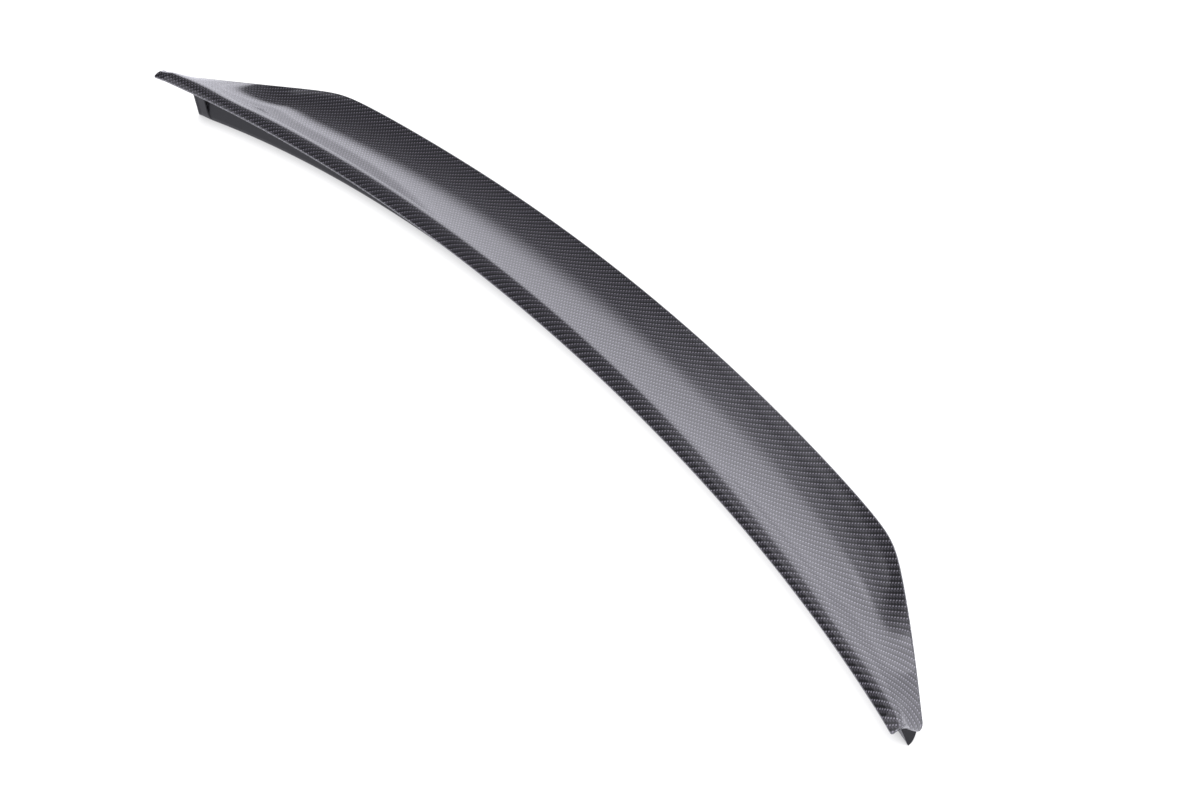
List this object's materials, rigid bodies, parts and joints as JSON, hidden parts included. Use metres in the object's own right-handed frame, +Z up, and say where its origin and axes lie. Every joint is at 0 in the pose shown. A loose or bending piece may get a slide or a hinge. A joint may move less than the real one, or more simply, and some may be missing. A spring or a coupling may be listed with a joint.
{
  "type": "car rear spoiler",
  "caption": "Long curved car rear spoiler: hollow top, raised rear crest with a rolled lip, undercut rear wall and swept tips, open below.",
  "frame": {"origin": "middle of the box that holds the part, on the ground it rests on", "axes": "+X across the car to the right, +Y towards the front of the car, +Z up"},
  "size_m": [1.15, 0.1902, 0.0764],
  "materials": {
    "clear_coated_carbon": "gloss clear coat over woven carbon"
  },
  "bodies": {
    "root": {"spoiler_shell": "clear_coated_carbon"}
  },
  "joints": []
}
